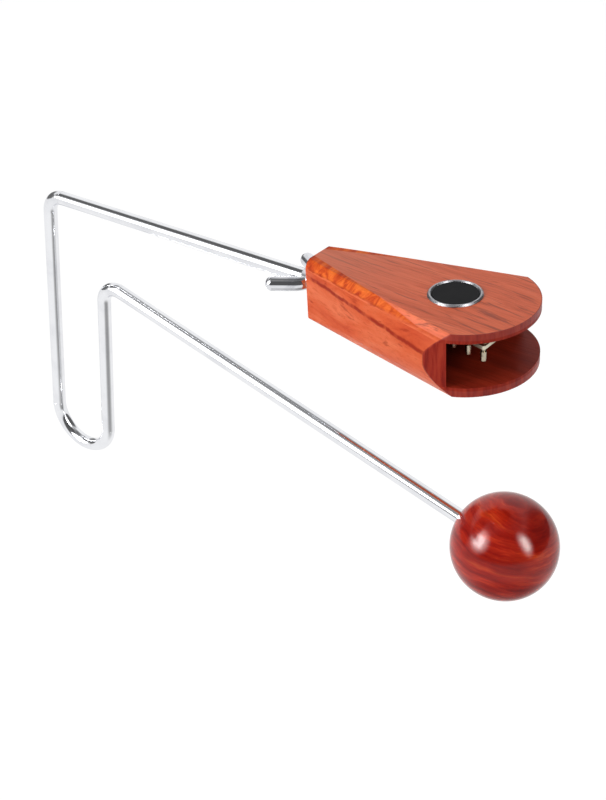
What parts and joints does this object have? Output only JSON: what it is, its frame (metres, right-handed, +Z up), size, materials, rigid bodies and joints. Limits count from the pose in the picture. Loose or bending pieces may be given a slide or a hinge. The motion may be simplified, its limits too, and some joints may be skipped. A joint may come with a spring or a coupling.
{
  "type": "vibraslap",
  "caption": "Vibraslap: bent chromed rod with a wooden ball at one end and a wooden sound box with a plate of loose rattling pins at the other.",
  "frame": {"origin": "middle of the handle's rear leg, between its two corners, on the rod's centre line, where a hand holds it", "axes": "+X from the handle towards the mouth of the sound box along the neck, +Z up, through the top of the sound box, +Y to the left"},
  "size_m": [0.3609, 0.071, 0.1934],
  "materials": {
    "rod_chrome": "polished chrome plate on spring steel",
    "ball_wood": "dark red-brown hardwood under thick gloss lacquer",
    "box_wood": "red-brown hardwood, satin lacquer, fine straight grain",
    "cheek_wood": "orange-red hardwood, satin lacquer, figured grain",
    "inner_wood": "bare dark red-brown hardwood",
    "badge_rim_metal": "bright metal rim",
    "badge_black": "plain black enamel",
    "plate_steel": "plain sheet steel, cut edges",
    "pin_steel": "nickel-plated steel",
    "fastener_steel": "zinc-plated steel",
    "wing_nut_chrome": "polished chrome plate"
  },
  "bodies": {
    "frame": {"bent_rod": "rod_chrome", "ball": "ball_wood", "washer": "fastener_steel", "lock_washer": "fastener_steel", "hex_nut": "fastener_steel"},
    "sound_box": {"top_board": "box_wood", "bottom_board": "box_wood", "left_cheek": "cheek_wood", "right_cheek": "cheek_wood", "end_block": "inner_wood", "badge_rim": "badge_rim_metal", "badge_disc": "badge_black", "rattle_plate": "plate_steel"},
    "wing_nut": {"wing_nut": "wing_nut_chrome"},
    "rattle_pin_left_1": {"rattle_pin_left_1": "pin_steel"},
    "rattle_pin_left_2": {"rattle_pin_left_2": "pin_steel"},
    "rattle_pin_left_3": {"rattle_pin_left_3": "pin_steel"},
    "rattle_pin_left_4": {"rattle_pin_left_4": "pin_steel"},
    "rattle_pin_left_5": {"rattle_pin_left_5": "pin_steel"},
    "rattle_pin_left_6": {"rattle_pin_left_6": "pin_steel"},
    "rattle_pin_right_1": {"rattle_pin_right_1": "pin_steel"},
    "rattle_pin_right_2": {"rattle_pin_right_2": "pin_steel"},
    "rattle_pin_right_3": {"rattle_pin_right_3": "pin_steel"},
    "rattle_pin_right_4": {"rattle_pin_right_4": "pin_steel"},
    "rattle_pin_right_5": {"rattle_pin_right_5": "pin_steel"},
    "rattle_pin_right_6": {"rattle_pin_right_6": "pin_steel"}
  },
  "joints": [
    {"name": "box_swivel", "type": "hinge", "parent": "frame", "child": "sound_box", "pos_m": [0.21075, 0, 0.09175], "axis": [1, 0, 0], "continuous": true},
    {"name": "wing_nut_turn", "type": "hinge", "parent": "frame", "child": "wing_nut", "pos_m": [0.21075, 0, 0.09175], "axis": [1, 0, 0], "continuous": true},
    {"name": "pin_left_1_rise", "type": "slide", "parent": "sound_box", "child": "rattle_pin_left_1", "axis": [0, 0, 1], "range_m": [0, 0.002]},
    {"name": "pin_left_2_rise", "type": "slide", "parent": "sound_box", "child": "rattle_pin_left_2", "axis": [0, 0, 1], "range_m": [0, 0.002]},
    {"name": "pin_left_3_rise", "type": "slide", "parent": "sound_box", "child": "rattle_pin_left_3", "axis": [0, 0, 1], "range_m": [0, 0.002]},
    {"name": "pin_left_4_rise", "type": "slide", "parent": "sound_box", "child": "rattle_pin_left_4", "axis": [0, 0, 1], "range_m": [0, 0.002]},
    {"name": "pin_left_5_rise", "type": "slide", "parent": "sound_box", "child": "rattle_pin_left_5", "axis": [0, 0, 1], "range_m": [0, 0.002]},
    {"name": "pin_left_6_rise", "type": "slide", "parent": "sound_box", "child": "rattle_pin_left_6", "axis": [0, 0, 1], "range_m": [0, 0.002]},
    {"name": "pin_right_1_rise", "type": "slide", "parent": "sound_box", "child": "rattle_pin_right_1", "axis": [0, 0, 1], "range_m": [0, 0.002]},
    {"name": "pin_right_2_rise", "type": "slide", "parent": "sound_box", "child": "rattle_pin_right_2", "axis": [0, 0, 1], "range_m": [0, 0.002]},
    {"name": "pin_right_3_rise", "type": "slide", "parent": "sound_box", "child": "rattle_pin_right_3", "axis": [0, 0, 1], "range_m": [0, 0.002]},
    {"name": "pin_right_4_rise", "type": "slide", "parent": "sound_box", "child": "rattle_pin_right_4", "axis": [0, 0, 1], "range_m": [0, 0.002]},
    {"name": "pin_right_5_rise", "type": "slide", "parent": "sound_box", "child": "rattle_pin_right_5", "axis": [0, 0, 1], "range_m": [0, 0.002]},
    {"name": "pin_right_6_rise", "type": "slide", "parent": "sound_box", "child": "rattle_pin_right_6", "axis": [0, 0, 1], "range_m": [0, 0.002]}
  ]
}
